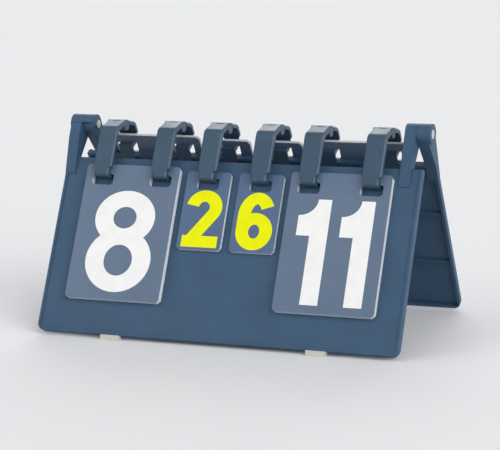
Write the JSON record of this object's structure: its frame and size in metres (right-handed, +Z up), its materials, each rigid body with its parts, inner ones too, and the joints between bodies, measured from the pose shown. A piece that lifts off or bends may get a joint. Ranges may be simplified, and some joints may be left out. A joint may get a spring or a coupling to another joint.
{
  "type": "flip scoreboard",
  "caption": "Folding tabletop flip scoreboard: two panels stand as an A, with ring clips along the top that carry points and games cards.",
  "frame": {"origin": "on the table, midway between the panels and midway across them", "axes": "+X along the panels to the viewer's right, +Y to the rear panel, +Z up"},
  "size_m": [0.385, 0.2218, 0.2078],
  "materials": {
    "panel_plastic": "fine moulded grain",
    "ring_plastic": "satin",
    "card_plastic": "printed satin face with white cut edges",
    "foot_rubber": "matt",
    "pin_steel": "plated"
  },
  "bodies": {
    "front_frame": {"front_foot_left": "foot_rubber", "front_foot_right": "foot_rubber", "front_panel": "panel_plastic", "hinge_rivet_left": "pin_steel", "hinge_rivet_right": "pin_steel", "left_games_front_pack": "card_plastic", "left_points_front_pack": "card_plastic", "right_games_front_pack": "card_plastic", "right_points_front_pack": "card_plastic", "ring_1_front": "ring_plastic", "ring_2_front": "ring_plastic", "ring_3_front": "ring_plastic", "ring_4_front": "ring_plastic", "ring_5_front": "ring_plastic", "ring_6_front": "ring_plastic"},
    "rear_frame": {"left_games_rear_pack": "card_plastic", "left_points_rear_pack": "card_plastic", "rear_foot_left": "foot_rubber", "rear_foot_right": "foot_rubber", "rear_panel": "panel_plastic", "right_games_rear_pack": "card_plastic", "right_points_rear_pack": "card_plastic", "ring_1_rear": "ring_plastic", "ring_2_rear": "ring_plastic", "ring_3_rear": "ring_plastic", "ring_4_rear": "ring_plastic", "ring_5_rear": "ring_plastic", "ring_6_rear": "ring_plastic"},
    "left_points_front_card": {"left_points_front_card": "card_plastic"},
    "left_points_rear_card": {"left_points_rear_card": "card_plastic"},
    "left_games_front_card": {"left_games_front_card": "card_plastic"},
    "left_games_rear_card": {"left_games_rear_card": "card_plastic"},
    "right_games_front_card": {"right_games_front_card": "card_plastic"},
    "right_games_rear_card": {"right_games_rear_card": "card_plastic"},
    "right_points_front_card": {"right_points_front_card": "card_plastic"},
    "right_points_rear_card": {"right_points_rear_card": "card_plastic"}
  },
  "joints": [
    {"name": "fold", "type": "hinge", "parent": "front_frame", "child": "rear_frame", "pos_m": [0, 0, 0.19784], "axis": [1, 0, 0], "range_deg": [-55, 0]},
    {"name": "left_points_flip", "type": "hinge", "parent": "front_frame", "child": "left_points_front_card", "pos_m": [0, -0.0314, 0.22145], "axis": [-1, 0, 0], "range_deg": [0, 305]},
    {"name": "left_points_flip_back", "type": "hinge", "parent": "rear_frame", "child": "left_points_rear_card", "pos_m": [0, -0.0314, 0.22145], "axis": [1, 0, 0], "range_deg": [0, 305]},
    {"name": "left_games_flip", "type": "hinge", "parent": "front_frame", "child": "left_games_front_card", "pos_m": [0, -0.0314, 0.21885], "axis": [-1, 0, 0], "range_deg": [0, 305]},
    {"name": "left_games_flip_back", "type": "hinge", "parent": "rear_frame", "child": "left_games_rear_card", "pos_m": [0, -0.0314, 0.21885], "axis": [1, 0, 0], "range_deg": [0, 305]},
    {"name": "right_games_flip", "type": "hinge", "parent": "front_frame", "child": "right_games_front_card", "pos_m": [0, -0.0314, 0.21885], "axis": [-1, 0, 0], "range_deg": [0, 305]},
    {"name": "right_games_flip_back", "type": "hinge", "parent": "rear_frame", "child": "right_games_rear_card", "pos_m": [0, -0.0314, 0.21885], "axis": [1, 0, 0], "range_deg": [0, 305]},
    {"name": "right_points_flip", "type": "hinge", "parent": "front_frame", "child": "right_points_front_card", "pos_m": [0, -0.0314, 0.22145], "axis": [-1, 0, 0], "range_deg": [0, 305]},
    {"name": "right_points_flip_back", "type": "hinge", "parent": "rear_frame", "child": "right_points_rear_card", "pos_m": [0, -0.0314, 0.22145], "axis": [1, 0, 0], "range_deg": [0, 305]}
  ]
}
